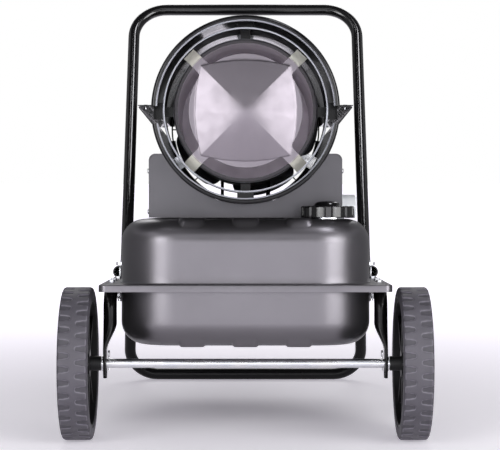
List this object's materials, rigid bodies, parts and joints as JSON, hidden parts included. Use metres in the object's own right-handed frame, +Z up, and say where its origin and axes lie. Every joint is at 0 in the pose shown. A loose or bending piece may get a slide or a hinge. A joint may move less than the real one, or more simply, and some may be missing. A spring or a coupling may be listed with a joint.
{
  "type": "forced air heater",
  "caption": "Wheeled forced air heater: round barrel with a pressed flame deflector, control box, fuel tank, tube frame with handle.",
  "frame": {"origin": "on the floor, at the middle of the bounding box's base", "axes": "+X to the right as seen from the air outlet, +Y from the air outlet towards the handle, +Z up; the heater stands on its two wheels and its foot bar"},
  "size_m": [0.596, 0.8534, 0.7477],
  "materials": {
    "tank_paint": "satin dark grey paint",
    "box_paint": "satin grey paint",
    "frame_paint": "gloss black paint",
    "barrel_paint": "gloss black enamel",
    "guide_enamel": "glossy blue-black enamel",
    "zinc": "bright zinc plate",
    "heat_steel": "heat-resisting bright steel",
    "bright_steel": "ground steel",
    "tyre_grey": "moulded dark grey tread",
    "wheel_black": "moulded black",
    "cap_black": "moulded black",
    "knob_pale": "pale grey",
    "rubber_black": "matt",
    "fan_alloy": "pressed bright",
    "motor_paint": "semi-gloss dark grey",
    "carbon": "moulded carbon",
    "brass": "turned",
    "ceramic": "glazed",
    "board_green": "circuit board",
    "moulding_dark": "potted block",
    "gauge_face": "dial with a bright rim"
  },
  "bodies": {
    "root": {"tank_upper_shell": "tank_paint", "tank_lower_shell": "tank_paint", "front_panel": "box_paint", "rear_panel": "box_paint", "side_cover_left": "box_paint", "side_cover_right": "box_paint", "lower_frame": "frame_paint", "handle_frame": "frame_paint", "intake_guard": "frame_paint", "barrel_upper_shell": "barrel_paint", "barrel_lower_shell": "barrel_paint", "guide_brackets": "barrel_paint", "air_guide": "guide_enamel", "axle": "zinc", "frame_bolts": "zinc", "frame_nuts": "zinc", "split_pins": "zinc", "wheel_washers": "zinc", "seam_screws": "zinc", "cover_screws": "zinc", "flange_screws": "zinc", "filler_neck": "zinc", "base_tray": "zinc", "chamber_brackets": "zinc", "motor_bracket": "zinc", "flame_deflector": "heat_steel", "combustion_chamber": "heat_steel", "burner_plate": "heat_steel", "filler_strainer": "bright_steel", "fuel_pickup": "bright_steel", "power_switch": "cap_black", "cord_gland": "cap_black", "air_line": "rubber_black", "fuel_line": "rubber_black", "drain_plug": "rubber_black", "pump_body": "fan_alloy", "pump_cover": "fan_alloy", "motor": "motor_paint", "nozzle_body": "brass", "igniter": "ceramic", "control_board": "board_green", "ignition_transformer": "moulding_dark", "thermostat": "moulding_dark", "flame_sensor": "moulding_dark", "pressure_gauge": "gauge_face"},
    "wheel_left": {"tyre_left": "tyre_grey", "wheel_rim_left": "wheel_black"},
    "wheel_right": {"tyre_right": "tyre_grey", "wheel_rim_right": "wheel_black"},
    "rotor": {"drive_shaft": "bright_steel", "fan": "fan_alloy", "pump_rotor": "carbon"},
    "cap_ring": {"cap_seal": "rubber_black"},
    "cap": {"fuel_cap": "cap_black"},
    "knob": {"thermostat_knob": "knob_pale"},
    "rocker": {"power_rocker": "cap_black"}
  },
  "joints": [
    {"name": "wheel_left_spin", "type": "hinge", "parent": "root", "child": "wheel_left", "pos_m": [-0.274, -0.30169, 0.125], "axis": [1, 0, 0], "continuous": true},
    {"name": "wheel_right_spin", "type": "hinge", "parent": "root", "child": "wheel_right", "pos_m": [0.274, -0.30169, 0.125], "axis": [1, 0, 0], "continuous": true},
    {"name": "fan_spin", "type": "hinge", "parent": "root", "child": "rotor", "pos_m": [0, 0.09394, 0.51331], "axis": [0, 0.9983, -0.0591], "continuous": true},
    {"name": "cap_lift", "type": "slide", "parent": "root", "child": "cap_ring", "axis": [0, 0.0591, 0.9983], "range_m": [0, 0.03]},
    {"name": "cap_turn", "type": "hinge", "parent": "cap_ring", "child": "cap", "pos_m": [0.134, -0.29255, 0.36408], "axis": [0, 0.0591, 0.9983], "range_deg": [0, 90]},
    {"name": "thermostat_turn", "type": "hinge", "parent": "root", "child": "knob", "pos_m": [0.16, -0.17666, 0.37585], "axis": [1, 0, 0], "range_deg": [0, 270]},
    {"name": "power_rock", "type": "hinge", "parent": "root", "child": "rocker", "pos_m": [0.1576, -0.08046, 0.3932], "axis": [0, 0.0591, 0.9983], "range_deg": [0, 20]}
  ]
}
